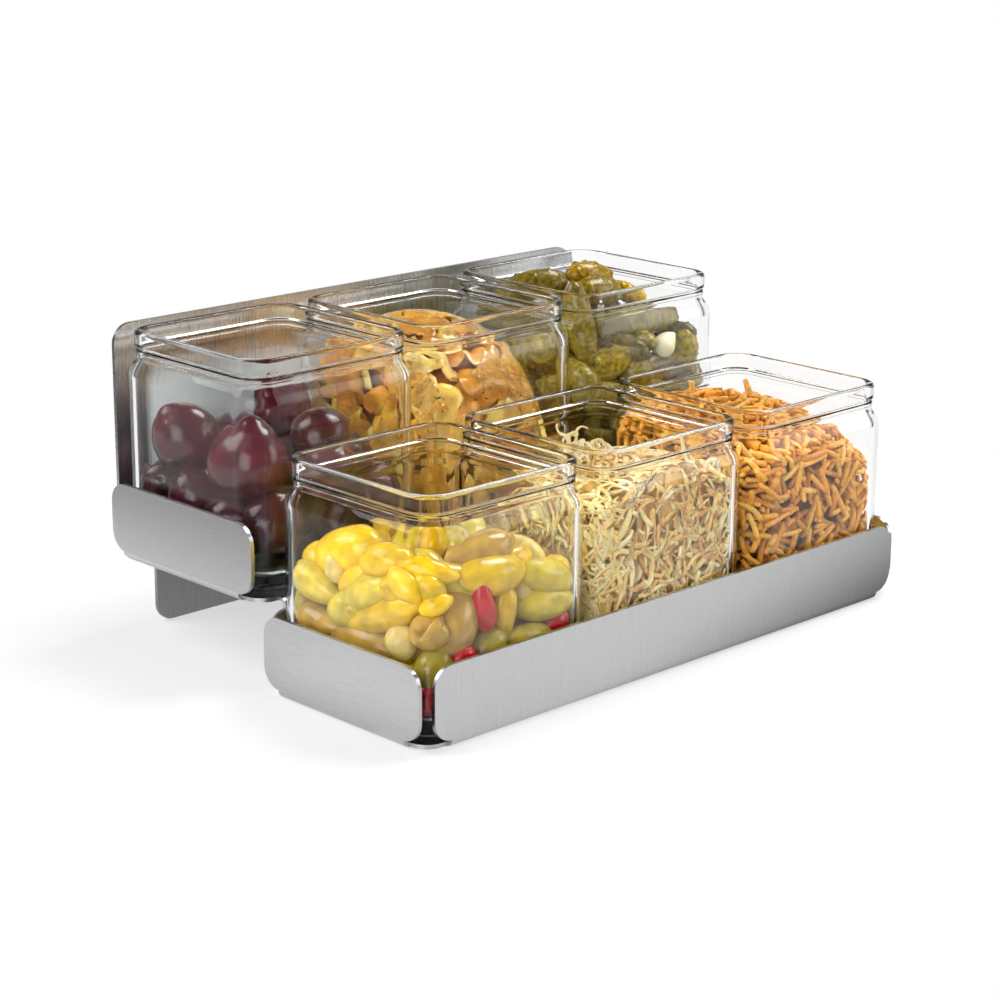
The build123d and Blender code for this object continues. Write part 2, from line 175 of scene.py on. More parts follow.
def rounded_run(corners, steps):
    """A line through the corners, each rounded by a short curve, with a close point at its ends."""
    points = [np.array(corners[0][:3])]
    for before, corner, after in zip(corners, corners[1:], corners[2:]):
        here = np.array(corner[:3])
        back, ahead = np.array(before[:3]) - here, np.array(after[:3]) - here
        back_length, ahead_length = np.linalg.norm(back[:2]), np.linalg.norm(ahead[:2])
        turn = math.acos(np.clip(back[:2] @ ahead[:2] / (back_length * ahead_length), -1, 1))
        reach = min(corner[3] / max(math.tan(turn / 2), 0.05), 0.46 * back_length, 0.46 * ahead_length)
        start, end = here + back / back_length * reach, here + ahead / ahead_length * reach
        points.append(start + 0.03 * back)
        for t in np.linspace(0, 1, steps):
            points.append((1 - t) ** 2 * start + 2 * t * (1 - t) * here + t * t * end)
        points.append(end + 0.03 * ahead)
    points.append(np.array(corners[-1][:3]))
    return points


def square_ring(half, radius):
    """The outline of the jar at one level, from the middle of a side all the way round."""
    core = half - min(radius, 0.9 * half)
    radius = half - core
    ring = []
    for quarter in range(4):
        turn = quarter * math.pi / 2
        side = [(half, core * share) for share in (-1, *np.linspace(-0.96, 0.96, side_steps))]
        arc = [(core + radius * math.cos(a), core + radius * math.sin(a))
               for a in np.linspace(0, math.pi / 2, corner_steps, endpoint=False)]
        ring += [(x * math.cos(turn) - y * math.sin(turn), x * math.sin(turn) + y * math.cos(turn))
                 for x, y in side + arc]
    return np.array(ring)


def jar_mesh():
    """The glass as one closed skin: up the outside, over the rim and down the inside."""
    section = rounded_run(outside_run + inside_run, steps=8)
    rings = [(half, height, corner) for half, height, corner in section if half > 0]
    count = len(square_ring(1.0, 0.5))
    points = [(0, 0, rings[0][1])]
    for half, height, corner in rings:
        points += [(x, y, height) for x, y in square_ring(half, corner)]
    points.append((0, 0, rings[-1][1]))
    last = len(points) - 1
    faces = []
    for i in range(count):
        j = (i + 1) % count
        faces.append((0, 1 + j, 1 + i))
        for ring in range(len(rings) - 1):
            low, high = 1 + ring * count, 1 + (ring + 1) * count
            faces.append((low + i, low + j, high + j, high + i))
        faces.append((last, last - count + i, last - count + j))
    return points, faces


ripple_length = 22.0     # from wave to wave


def pressed_glass():
    """Clear glass with a faint green cast at its edges and the slight waviness that pressing leaves."""
    made, tree = new_material("pressed_soda_lime_glass")
    place = add(tree, "ShaderNodeTexCoord").outputs["Object"]
    ripple = add(tree, "ShaderNodeTexNoise", {"Vector": place, "Scale": 1 / (ripple_length * MM),
                                              "Detail": 1.0}).outputs[0]
    waves = add(tree, "ShaderNodeBump", {"Height": ripple, "Strength": 0.5, "Distance": 0.25 * MM})
    glass = add(tree, "ShaderNodeBsdfPrincipled", {
        "Base Color": (1, 1, 1, 1), "Roughness": 0.0, "IOR": 1.52, "Specular Tint": (0.3, 0.3, 0.3, 1),
        "Transmission Weight": 1.0, "Normal": waves.outputs[0]})
    clear = add(tree, "ShaderNodeBsdfTransparent", {"Color": linear("#F6F8F7")})
    shadow = add(tree, "ShaderNodeLightPath").outputs["Is Shadow Ray"]
    lit = add(tree, "ShaderNodeMixShader", {0: shadow, 1: glass.outputs[0], 2: clear.outputs[0]})
    green = add(tree, "ShaderNodeVolumeAbsorption", {"Color": linear("#CFDAD2"), "Density": 7.0})
    add(tree, "ShaderNodeOutputMaterial", {"Surface": lit.outputs[0], "Volume": green.outputs[0]})
    return made


jar_glass = pressed_glass()
jar_points, jar_faces = jar_mesh()
jar_foot = {}            # middle of each jar's underside, in metres
for row in ["front", "rear"]:
    for column in columns:
        node = f"jar_{row}_{column}"
        low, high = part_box(node)
        jar_foot[node] = np.array([(low.x + high.x) / 2, (low.y + high.y) / 2, low.z])
        shape = bpy.data.meshes.new(f"glass_{node}")
        shape.from_pydata([tuple(jar_foot[node] + MM * np.array(p)) for p in jar_points], [], jar_faces)
        shape.shade_smooth()
        shape.materials.append(jar_glass)
        glass_jar = bpy.data.objects.new(f"glass_{node}", shape)
        bpy.context.scene.collection.objects.link(glass_jar)
        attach(glass_jar, node)
        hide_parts(node)

# The beets: whole baby beets, boiled, peeled and pickled. They are dense, wet and dark, egg-shaped
# with a cut crown at one end, and they darken towards the bottom of the jar.
food_gap = 0.5           # food to glass
room_heights = [base_level, 6.5, 8.0, 10.0, 13.5, 87.0, 97.5, 116.0]
room_halves = [41.0, 43.5, 45.8, 47.6, room_half, room_half, mouth_half, mouth_half]
room_corners = [8.0, 9.0, 11.0, 12.0, room_corner, room_corner, mouth_corner, mouth_corner]
soaked_to, dry_from = 15.0, 70.0       # heights in the jar, darkest and lightest
place_reach = 44.0       # how far from the middle a loose fruit may lie
beet_length = 1.16       # a beet's length over its width
crown_at, crown_width, crown_cut = 0.90, 0.035, 0.10      # where along a beet, and how deep, as shares


def keep_inside(points, margin=0.0):
    """Moves points in from the glass where they would be nearer to it than a margin."""
    points = np.array(points, float)
    points[:, 2] = np.maximum(points[:, 2], base_level + food_gap + margin)
    half = np.interp(points[:, 2], room_heights, room_halves) - food_gap - margin
    corner = np.maximum(np.interp(points[:, 2], room_heights, room_corners) - food_gap - margin, 2.0)
    core = (half - corner)[:, None]
    outside = np.maximum(np.abs(points[:, :2]) - core, 0)
    shrink = np.minimum(corner / np.maximum(np.linalg.norm(outside, axis=1), 1e-6), 1.0)
    inner = np.minimum(np.abs(points[:, :2]), core)
    points[:, :2] = np.sign(points[:, :2]) * (inner + outside * shrink[:, None])
    return points


def skin(path, radii, sides, thickness=1.0, cup=0.0, out=None):
    """A closed skin round a path. Out flattens it that way, and cup turns its edges away from it."""
    path = np.asarray(path, float)
    ahead = np.gradient(path, axis=0)
    ahead /= np.linalg.norm(ahead, axis=1)[:, None]
    side = np.cross(ahead[0], (0.36, 0.48, 0.80))          # askew, so no path sets out along it
    angles = np.linspace(0, 2 * math.pi, sides, endpoint=False)
    points = [path[0]]
    for here, way, radius in zip(path[1:-1], ahead[1:-1], np.asarray(radii)[1:-1]):
        side = side - way * (side @ way) if out is None else np.cross(way, out)
        side = side / max(np.linalg.norm(side), 1e-6)
        up = np.cross(way, side)
        rise = np.sin(angles) * thickness + cup * np.cos(angles) ** 2
        round_it = np.cos(angles)[:, None] * side + rise[:, None] * up
        points += list(here + round_it * np.reshape(radius, (-1, 1)))
    points.append(path[-1])
    last, rings, faces = len(points) - 1, len(path) - 2, []
    for i in range(sides):
        j = (i + 1) % sides
        faces.append((0, 1 + j, 1 + i))
        for ring in range(rings - 1):
            low, high = 1 + ring * sides, 1 + (ring + 1) * sides
            faces.append((low + i, low + j, high + j, high + i))
        faces.append((last, last - sides + i, last - sides + j))
    return np.array(points), faces


def bellied(t, belly, point):
    """How thick a fruit is along its length: full at the belly, and drawn in more the larger point is."""
    u = np.where(t < belly, t / belly, (1 - t) / (1 - belly))
    power = np.where(t < belly, 0.5, 0.5 + point)
    return np.clip(1 - (1 - u) ** 2, 0, 1) ** power


def fruit(chance, start, end, radius, rings, sides, belly=0.5, point=0.0, bend=0.0, lumps=0.05):
    """A whole fruit whose tips are start and end, bent a little and gently lumpy."""
    start, end = np.array(start, float), np.array(end, float)
    t = (1 - np.cos(np.linspace(0, math.pi, rings))) / 2
    sideways = np.cross(end - start, chance.normal(size=3))
    sideways *= bend / np.linalg.norm(sideways)
    path = start + (end - start) * t[:, None] + sideways * (4 * t * (1 - t))[:, None]
    angles = np.linspace(0, 2 * math.pi, sides, endpoint=False)
    swell = np.ones((rings, sides))
    for waves, runs in [(1, 2.0), (2, 1.0), (3, 3.0), (5, 4.0)]:
        phase = chance.uniform(0, 2 * math.pi, 2)
        swell += lumps / waves * np.sin(waves * angles[None, :] + phase[0] + runs * t[:, None] + phase[1])
    thick = radius * bellied(t, belly, point)
    return keep_inside(path, 0.9 * thick), thick[:, None] * swell


def food(name, skins, jar, node, material, deep=1.0):
    """Joins skins of (points, faces, tone) into one piece that stands in a jar and rides with it.

    How dark it is at the bottom of the jar is the last argument: painted shade there, with the dark juice it
    soaks in."""
    points, faces, tones = [], [], []
    for skin_points, skin_faces, tone in skins:
        start = len(points)
        inside = keep_inside(skin_points)
        points += list(jar_foot[jar] + MM * inside)
        faces += [tuple(start + i for i in face) for face in skin_faces]
        # Darker towards the bottom: painted shade, together with the dark juice the food soaks in.
        tones.append(np.outer(np.interp(inside[:, 2], [soaked_to, dry_from], [deep, 1.0]), tone))
    shape = bpy.data.meshes.new(name)
    shape.from_pydata([tuple(p) for p in points], [], faces)
    shape.shade_smooth()
    shape.materials.append(material)
    shape.color_attributes.new("tone", "FLOAT_COLOR", "POINT").data.foreach_set(
        "color", np.concatenate(tones).ravel())
    made = bpy.data.objects.new(name, shape)
    bpy.context.scene.collection.objects.link(made)
    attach(made, jar)
    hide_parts(node)
    return made


def scatter(chance, tries, spacing, low, level, taken):
    """Free places in a jar up to a level, none nearer than spacing to another or to a taken one."""
    taken = [np.array(place, float) for place in taken]
    found = []
    for x, y, share in chance.uniform(-1, 1, (tries, 3)):
        x, y = place_reach * x, place_reach * y
        place = np.array([x, y, low + (level(x, y) - low) * (share + 1) / 2])
        if all(np.linalg.norm(place - other) > spacing for other in taken + found):
            found.append(place)
    return found


def tinted(chance, codes, spread):
    """One of the colours, a little lighter or darker."""
    tone = np.array(linear(codes[chance.integers(len(codes))]))
    tone[:3] *= 1 + chance.uniform(-spread, spread)
    return tone


def food_material(name, sheen, soft, depth, mottle_mm, mottle, pit_mm, pit, bleed=(1.0, 0.7, 0.5)):
    """Food of its own tone: mottled, let light in to a depth, wet to sheen and pitted or wrinkled."""
    made, tree = new_material(name)
    place = add(tree, "ShaderNodeTexCoord").outputs["Object"]
    tone = add(tree, "ShaderNodeAttribute", attribute_name="tone").outputs["Color"]
    cloud = add(tree, "ShaderNodeTexNoise", {"Vector": place, "Scale": 1 / (mottle_mm * MM), "Detail": 3.0})
    shade = add(tree, "ShaderNodeMapRange", {0: cloud.outputs[0], 1: 0.3, 2: 0.7, 3: 1 - mottle, 4: 1 + mottle})
    colour = add(tree, "ShaderNodeVectorMath", {0: tone, 3: shade.outputs[0]}, operation="SCALE").outputs[0]
    pits = add(tree, "ShaderNodeTexNoise", {"Vector": place, "Scale": 1 / (pit_mm * MM), "Detail": 2.0})
    bump = add(tree, "ShaderNodeBump", {"Height": pits.outputs[0], "Strength": pit, "Distance": 0.4 * MM})
    rough = add(tree, "ShaderNodeMapRange", {0: pits.outputs[0], 3: sheen - 0.08, 4: sheen + 0.08})
    flesh = add(tree, "ShaderNodeBsdfPrincipled", {
        "Base Color": colour, "Roughness": rough.outputs[0], "Subsurface Weight": soft,
        "Subsurface Radius": bleed, "Subsurface Scale": depth * MM, "Normal": bump.outputs[0]})
    add(tree, "ShaderNodeOutputMaterial", {"Surface": flesh.outputs[0]})
    return made


beet_places = [          # middle in mm from the middle of the jar's underside, crown's way and radius
    (-32, 22, 60, (-0.5, 0.2, 0.8), 16.0), (-30, -21, 57, (0.1, 0.1, 1.0), 17.5),
    (8, -27, 63, (1.0, -0.1, 0.2), 13.5), (6, -33, 48, (1.0, 0.2, -0.1), 14.5),
    (-33, 42, 36, (0.2, 1.0, 0.3), 15.0), (-33, 12, 32, (-0.2, 0.3, 1.0), 15.5),
    (-31, -12, 25, (0.3, 1.0, 0.4), 16.0), (-27, -34, 29, (0.4, 0.2, 1.0), 14.5),
    (10, -35, 21, (0.2, -0.1, 1.0), 14.0), (31, -12, 44, (0.3, 1.0, 0.5), 16.5),
    (28, 26, 34, (1.0, 0.4, 0.3), 17.0), (0, 26, 48, (0.4, 0.6, 0.6), 17.0),
    (32, 30, 62, (0.3, 0.3, 1.0), 14.5), (-2, 0, 31, (1.0, 0.2, 0.2), 16.0),
    (34, -34, 30, (0.1, 0.3, 1.0), 14.5), (-12, 36, 20, (1.0, 0.1, 0.1), 15.5),
    (14, 8, 17, (0.2, 1.0, 0.1), 15.0), (36, 2, 20, (0.1, 0.9, 0.4), 14.5),
]
chance = np.random.default_rng(11)
beet_skins = []
for x, y, z, crown, radius in beet_places:
    lie = np.array(crown) / np.linalg.norm(crown) * radius * beet_length
    middle = np.array([x, y, z])
    rings, sides = 34, 32
    path, radii = fruit(chance, middle - lie, middle + lie, radius, rings, sides,
                        belly=0.44, point=0.16, bend=0.8, lumps=0.06)
    t = (1 - np.cos(np.linspace(0, math.pi, rings))) / 2
    crown_ring = 1 - crown_cut * np.exp(-((t - crown_at) / crown_width) ** 2)
    points, faces = skin(path, radii * crown_ring[:, None], sides)
    beet_skins.append((points, faces, tinted(chance, ["#461019", "#380913", "#541620", "#3E0B16"], 0.15)))
# Boiled beet without its skin is wet and dense: near black-red and mottled, with small sharp highlights.
beet_flesh = food_material("wet_peeled_beet", sheen=0.20, soft=0.10, depth=1.5, mottle_mm=12, mottle=0.45,
                           pit_mm=1.6, pit=0.12)
food("baby_beets", beet_skins, "jar_rear_left", "beets", beet_flesh, deep=0.4)

# The yellow and red peppers: small whole pickled peppers, from pale cream to strong yellow and
# tan, with a few red ones and small bulbs. Their skins are smooth, wet and let some light in.
cream, pale, yellow, strong = "#DFC46C", "#DAC03A", "#E2B813", "#EABC00"
tan, green, red = "#BF9740", "#AF9C33", "#C01018"
pepper_places = [        # both tips in mm in the jar, radius, belly, point and colour
    ((-35, 37, 64), (-31, 0, 77), 11.0, 0.50, 0.0, strong),
    ((-42, 21, 70), (-42, 13, 57), 5.2, 0.60, 0.2, cream),
    ((-40, 49, 58), (-39, 17, 47), 8.5, 0.40, 0.1, pale),
    ((-42, 14, 55), (-42, -3, 69), 6.0, 0.50, 0.2, yellow),
    ((-38, 3, 69), (-37, -25, 74), 8.5, 0.50, 0.1, yellow),
    ((-40, 17, 46), (-40, -22, 65), 8.0, 0.55, 0.1, pale),
    ((-40, 14, 36), (-39, -35, 59), 8.5, 0.60, 0.2, yellow),
    ((-14, -33, 61), (-34, -35, 32), 13.5, 0.60, 0.1, tan),
    ((-14, -43, 66), (-10, -43, 41), 5.6, 0.65, 0.1, red),
    ((-24, -37, 66), (17, -39, 65), 9.5, 0.55, 0.2, yellow),
    ((4, -42, 60), (1, -43, 33), 6.0, 0.40, 0.3, yellow),
    ((12, -40, 63), (49, -39, 51), 8.2, 0.45, 0.1, pale),
    ((9, -39, 47), (50, -43, 42), 9.0, 0.40, 0.5, pale),
    ((-20, -30, 72), (16, -33, 77), 7.8, 0.60, 0.1, tan),
    ((6, -36, 68), (26, -32, 67), 6.0, 0.50, 0.1, yellow),
    ((-42, -24, 75), (-25, -42, 69), 6.0, 0.50, 0.1, strong),
    ((-43, -22, 73), (-42, -37, 60), 6.0, 0.50, 0.1, yellow),
    ((-41, -33, 71), (-32, -42, 60), 7.0, 0.50, 0.1, yellow),
    ((-42, -36, 56), (-30, -44, 62), 5.0, 0.50, 0.2, strong),
    ((-42, -23, 47), (-43, -29, 32), 6.6, 0.45, 0.1, cream),
    ((-31, -40, 38), (-41, -38, 17), 8.6, 0.50, 0.2, green),
    ((-17, -41, 30), (2, -41, 41), 7.4, 0.50, 0.2, green),
    ((1, -42, 34), (33, -42, 31), 6.6, 0.50, 0.2, pale),
    ((28, -43, 33), (42, -43, 37), 5.2, 0.50, 0.1, red),
    ((-31, -43, 31), (-18, -43, 35), 5.0, 0.50, 0.1, red),
    ((-42, -42, 24), (-41, -42, 7), 6.0, 0.50, 0.1, red),
    ((-40, 47, 38), (-40, 12, 34), 8.5, 0.50, 0.2, tan),
    ((-40, 22, 29), (-40, -22, 32), 8.5, 0.50, 0.2, tan),
    ((-42, 50, 48), (-42, 41, 33), 6.0, 0.50, 0.1, green),
    ((-10, -8, 72), (10, 4, 70), 8.0, 0.50, 0.1, yellow),
]


def pepper_level(x, y):
    """How high the peppers reach, lower towards the glass."""
    return 70 - 0.004 * (x * x + y * y)


chance = np.random.default_rng(23)
taken = [(np.array(start) + end) / 2 for start, end, *_ in pepper_places]
for place in scatter(chance, tries=2600, spacing=13.5, low=13, level=pepper_level, taken=taken):
    lie = chance.normal(size=3) * (1, 1, 0.45)
    lie *= chance.uniform(11, 17) / np.linalg.norm(lie)
    hue = [pale, yellow, tan, cream, green, yellow, pale][chance.integers(7)]
    pepper_places.append((place - lie, place + lie, chance.uniform(6.5, 9.0), 0.45, 0.2, hue))
pods = {"yellow": [], "red": []}
for start, end, radius, belly, point, hue in pepper_places:
    path, radii = fruit(chance, start, end, radius, rings=24, sides=22, belly=belly, point=point,
                        bend=chance.uniform(0, 2.0), lumps=0.06)
    points, faces = skin(path, radii, sides=22)
    pods["red" if hue == red else "yellow"].append((points, faces, tinted(chance, [hue], 0.08)))
# A pickled pepper's skin is smooth and wet and its flesh lets light in, which makes it waxy and full.
pepper_skin = food_material("wet_pickled_pepper_skin", sheen=0.16, soft=0.35, depth=3.0, mottle_mm=7,
                            mottle=0.24, pit_mm=2.5, pit=0.20)
food("pickled_yellow_peppers", pods["yellow"], "jar_front_left", "yellow_peppers",
     pepper_skin, deep=0.7)
food("pickled_red_peppers", pods["red"], "jar_front_left", "red_peppers", pepper_skin)

# The sauerkraut: white cabbage cut into long thin shreds and fermented, so it is limp, moist, half
# clear and pale cream to straw yellow. It hangs together in tufts, with loose ends off the top.
tuft_spread = 4.95       # shreds lie about this far from the middle of their tuft
tuft_count, tuft_shreds = 175, 14
shred_rings = 9
loose_ends = [           # where shreds stand up out of the heap
    (-9, 11, 101), (-12, 6, 99), (-16, -10, 101), (-19, -15, 102), (-13, -18, 102), (-14, 0, 97), (-14, 2, 94),
    (-10, 8, 95), (17, -42, 95), (30, -45, 88), (-4, 4, 96), (-20, -6, 98),
]
top_share = 0.26         # of a jarful's pieces, those that lie on top
full_half = 48           # half the width of a packed jarful


def dome(x, y, middle_x, middle_y, peak, radius):
    """The height of a round-topped heap."""
    away = (x - middle_x) ** 2 + (y - middle_y) ** 2
    return peak - radius + math.sqrt(max(radius * radius - away, 0))


def kraut_level(x, y):
    """How high the sauerkraut reaches."""
    return dome(x, y, -4, -24, 96, 80)


def packed_core(level, inset, lump):
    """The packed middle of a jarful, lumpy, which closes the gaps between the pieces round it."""
    count, half, levels = 88, full_half - inset, 14
    points, faces, rows = [], [], []
    for ring, share in enumerate(np.linspace(0, 1, levels)):
        row = []
        for angle in np.linspace(0, 2 * math.pi, count, endpoint=False):
            c, s = math.cos(angle), math.sin(angle)
            reach = half / max(abs(c), abs(s)) * (1 - 0.08 * abs(math.sin(2 * angle)))
            reach += lump * math.sin(5 * angle + 3 * ring) * math.sin(2.3 * ring)
            x, y = reach * c, reach * s
            row.append((x, y, base_level + 1 + share * (level(x, y) - inset - base_level)))
        rows.append(row)
    for shrink in (0.75, 0.5, 0.25):
        rows.append([(x * shrink, y * shrink, level(x * shrink, y * shrink) - inset
                      + lump * math.sin(0.35 * x) * math.cos(0.3 * y)) for x, y, _ in rows[levels - 1]])
    for row in rows:
        points += row
    for ring in range(len(rows) - 1):
        for i in range(count):
            j = (i + 1) % count
            low, high = ring * count, (ring + 1) * count
            faces.append((low + i, low + j, high + j, high + i))
    faces.append(tuple((len(rows) - 1) * count + i for i in range(count)))
    faces.append(tuple(range(count - 1, -1, -1)))
    return np.array(points), faces


def shell_place(chance, level, thick):
    """A place near the glass or near the top of a jarful, and the way out from there."""
    if chance.uniform() < top_share:
        x, y = chance.uniform(2 - full_half, full_half - 2, 2)
        return np.array([x, y, level(x, y) - chance.uniform(0, thick)]), np.array([0.0, 0.0, 1.0])
    across, away = chance.uniform(1 - full_half, full_half - 1), full_half - chance.uniform(0, thick)
    x, y = [(across, away), (across, -away), (away, across), (-away, across)][chance.integers(4)]
    out = np.array([x, y, 0]) * (abs(np.array([x, y, 0])) > away - 0.01) / away
    return np.array([x, y, chance.uniform(base_level + 1, level(x, y))]), out


def strand(chance, middle, way, length, rings, curl, turning=None):
    """A path of a given length through a place. It sets out along a way, turns, wanders and ends bluntly."""
    way = way / np.linalg.norm(way)
    turning = chance.normal(size=3) if turning is None else turning
    turning = turning / np.linalg.norm(turning)
    path = [np.zeros(3)]
    for _ in range(rings - 1):
        way = way + curl * np.cross(turning, way) + 0.5 * abs(curl) * chance.normal(size=3)
        way /= np.linalg.norm(way)
        path.append(path[-1] + way * length / (rings - 1))
    path = np.array(path)
    path[0], path[-1] = path[1] + 0.12 * (path[0] - path[1]), path[-2] + 0.12 * (path[-1] - path[-2])
    return path - path[rings // 2] + middle


def under(path, level):
    """Lowers what stands above the top of a jarful."""
    path = path.copy()
    for point in path:
        point[2] = min(point[2], level(point[0], point[1]) + 1.5)
    return path


kraut_colours = ["#FFE398", "#FFD688", "#FFEBB2", "#FAC870"]
chance = np.random.default_rng(37)
kraut_skins = [(*packed_core(kraut_level, inset=3, lump=1.2), linear("#ECC270"))]
tufts = []
while len(tufts) < tuft_count:
    candidates = [shell_place(chance, kraut_level, thick=4) for _ in range(6)]
    gaps = [min([np.linalg.norm(tuft - place) for tuft, _ in tufts], default=0) for place, _ in candidates]
    tufts.append(candidates[int(np.argmax(gaps))])
for tuft, out in tufts:
    flow = np.cross(out, chance.normal(size=3)) + 0.1 * chance.normal(size=3)
    for _ in range(tuft_shreds):
        middle = tuft + tuft_spread * chance.normal(size=3) * (1 - 0.6 * abs(out))
        way = flow + 0.5 * np.linalg.norm(flow) * chance.normal(size=3) * (1 - 0.7 * abs(out))
        turning = out + 0.35 * chance.normal(size=3)
        path = strand(chance, middle, way, length=chance.uniform(16, 40), rings=shred_rings,
                      curl=chance.uniform(-0.6, 0.6), turning=turning)
        radii = np.sin(math.pi * np.linspace(0, 1, shred_rings)) ** 0.4
        radii = np.clip(radii, 0.75, 1) * chance.uniform(0.9, 2.1)
        points, faces = skin(under(path, kraut_level), radii, sides=5, thickness=0.38, cup=0.3,
                             out=out + 0.3 * chance.normal(size=3))
        kraut_skins.append((points, faces, tinted(chance, kraut_colours, 0.08)))
for place in loose_ends:
    for _ in range(3):
        middle = np.array(place) + 2 * chance.normal(size=3)
        path = strand(chance, middle, chance.normal(size=3) + (0, 0, 0.8), length=17, rings=11, curl=0.4)
        radii = np.clip(np.sin(math.pi * np.linspace(0, 1, 11)), 0.7, 1) * 1.3
        points, faces = skin(path, radii, sides=5, thickness=0.35, cup=0.3)
        kraut_skins.append((points, faces, linear("#F8E4B4")))
# Fermented cabbage is moist and half clear: pale, with soft edges and a little gloss.
cabbage = food_material("fermented_cabbage_shreds", sheen=0.26, soft=0.20, depth=0.6, mottle_mm=5, mottle=0.10,
                        pit_mm=1.5, pit=0.20, bleed=(1.0, 0.75, 0.4))
food("sauerkraut_shreds", kraut_skins, "jar_front_middle", "sauerkraut", cabbage)

# The crisp sticks: short thin sticks of chickpea dough, pressed through a plate and fried, so they
# are orange-gold, dry, slightly bent and blistered, and broken to uneven lengths.
stick_colours = ["#F4B03E", "#ECA230", "#F8C050", "#DE9324", "#EFAC3A"]
stick_tries = 12000      # the longest are laid first, and shorter ones then fill the gaps
longest, shortest = 30.0, 10.0
stick_cell = 1.5         # no stick's middle line runs through a cell of this size that another's does
upright_sticks = [(-14, 24, 103), (8, 4, 101), (20, 16, 100)]


def stick_level(x, y):
    """How high the sticks reach."""
    return dome(x, y, -10, 10, 102, 100)


def stick(chance, middle, way, length, radius):
    """One stick of even thickness with rounded ends."""
    path = keep_inside(strand(chance, middle, way, length, rings=8, curl=0.07), radius)
    rough = 1 + 0.06 * chance.uniform(-1, 1, (8, 8))
    ends = np.array([0, 0.90, 1, 1, 1, 1, 0.90, 0])[:, None]
    return skin(path, radius * rough * ends, sides=8)


chance = np.random.default_rng(41)
# The packed middle is dark brown: painted shade in the gaps between the sticks.
stick_skins = [(*packed_core(stick_level, inset=8, lump=1.0), linear("#7C470F"))]
filled = set()
for tries in range(stick_tries):
    middle, out = shell_place(chance, stick_level, thick=8)
    way = np.cross(out, chance.normal(size=3)) + 0.25 * chance.normal(size=3)
    length = chance.uniform(0.75, 1.0) * (longest - (longest - shortest) * tries / stick_tries)
    way /= np.linalg.norm(way)
    line = middle + way * np.linspace(-length / 2, length / 2, 24)[:, None]
    line = keep_inside(under(line, stick_level), 1.4)
    cells = {tuple(cell) for cell in np.floor(line / stick_cell).astype(int)}
    if cells & filled:
        continue
    filled |= cells
    points, faces = stick(chance, middle, way, length, chance.uniform(1.2, 1.5))
    stick_skins.append((under(points, stick_level), faces, tinted(chance, stick_colours, 0.15)))
for place in upright_sticks:
    points, faces = stick(chance, np.array(place), np.array([0.1, 0.1, 1.0]), length=16, radius=1.5)
    stick_skins.append((points, faces, linear("#F0B455")))
# Fried dough is dry and blistered: matt, with a broken surface and darker specks.
fried = food_material("fried_chickpea_dough", sheen=0.50, soft=0.10, depth=1.0, mottle_mm=3, mottle=0.16,
                      pit_mm=0.9, pit=0.40)
food("fried_crisp_sticks", stick_skins, "jar_front_right", "crisp_sticks", fried)

# The onions: slices cooked soft in syrup, so each petal is a cupped, wavy, glossy, half-clear strip
# of amber, paler where it is thin and brown where the petals overlap.
onion_colours = ["#F8BC50", "#F2AC3C", "#E2942C", "#FCCC6C", "#EEA23A"]
petal_count = 240        # besides the ones listed
to_top, to_left, to_front = (0, 0, 1), (-1, 0, 0), (0, -1, 0)
petal_places = [         # middle in mm in the jar, length, width, the way that it lies and the way out
    ((-12, 20, 98), 32, 17, (1, -0.4, 0.1), to_top), ((-2, 8, 101), 32, 18, (0.9, -0.6, -0.1), to_top),
    ((8, -8, 97), 30, 18, (0.6, -0.7, -0.3), (0.3, -0.2, 1)),
    ((-18, -12, 98), 30, 16, (0.8, -0.3, 0.1), to_top),
    ((-8, -20, 94), 28, 15, (0.7, 0.5, -0.1), (0, -0.5, 1)),
    ((-26, 4, 97), 28, 15, (0.2, 1.0, 0.0), (-0.4, 0, 1)),
    ((-4, -38, 82), 36, 20, (0.3, -0.1, 1.0), to_front),
    ((-17, -43, 70), 32, 20, (0.4, 0.0, 1.0), to_front),
    ((19, -40, 68), 26, 14, (0.2, 0.0, 1.0), (0.3, -1, 0.2)),
    ((28, -42, 60), 30, 22, (1.0, 0.1, -0.3), to_front), ((-43, -36, 76), 34, 20, (0.0, 1.0, 0.5), to_left),
    ((-39, -43, 64), 32, 20, (1.0, -0.2, 0.3), (-1, -1, 0)),
    ((-43, -22, 86), 30, 18, (0.0, 1.0, -0.4), to_left),
]


def onion_level(x, y):
    """How high the onions reach."""
    return dome(x, y, -10, 2, 103, 60)


chance = np.random.default_rng(53)
for _ in range(petal_count):
    middle, out = shell_place(chance, onion_level, thick=8)
    out = out + 0.35 * chance.normal(size=3)
    petal_places.append((middle, chance.uniform(24, 38), chance.uniform(12, 19),
                         np.cross(out, chance.normal(size=3)), out))
onion_skins = [(*packed_core(onion_level, inset=9, lump=2.5), linear("#B8701E"))]
for middle, length, width, lie, out in petal_places:
    rings, sides = 17, 16
    t = np.linspace(0, 1, rings)
    lie = np.array(lie, float) / np.linalg.norm(lie)
    out = np.array(out, float) / np.linalg.norm(out)
    bow = length * chance.uniform(0.06, 0.20) * np.sin(math.pi * t)
    bow = bow + 1.8 * np.sin(chance.uniform(8, 16) * t + chance.uniform(0, 6))
    path = np.array(middle) + lie * length * (t - 0.5)[:, None] + out * bow[:, None]
    radii = np.clip(np.sin(math.pi * t), 0, 1) ** 0.5 * width / 2
    phase = chance.uniform(0, 6, 2)
    angles = np.linspace(0, 2 * math.pi, sides, endpoint=False)
    waver = 1 + 0.22 * np.sin(16 * t[:, None] + phase[0]) * np.sin(angles + phase[1]) ** 2
    waver = waver + 0.09 * chance.uniform(-1, 1, (rings, sides))
    points, faces = skin(path, radii[:, None] * waver, sides, thickness=chance.uniform(0.10, 0.15),
                         cup=chance.uniform(-0.3, 0.7), out=out)
    onion_skins.append((under(points, onion_level), faces, tinted(chance, onion_colours, 0.12)))
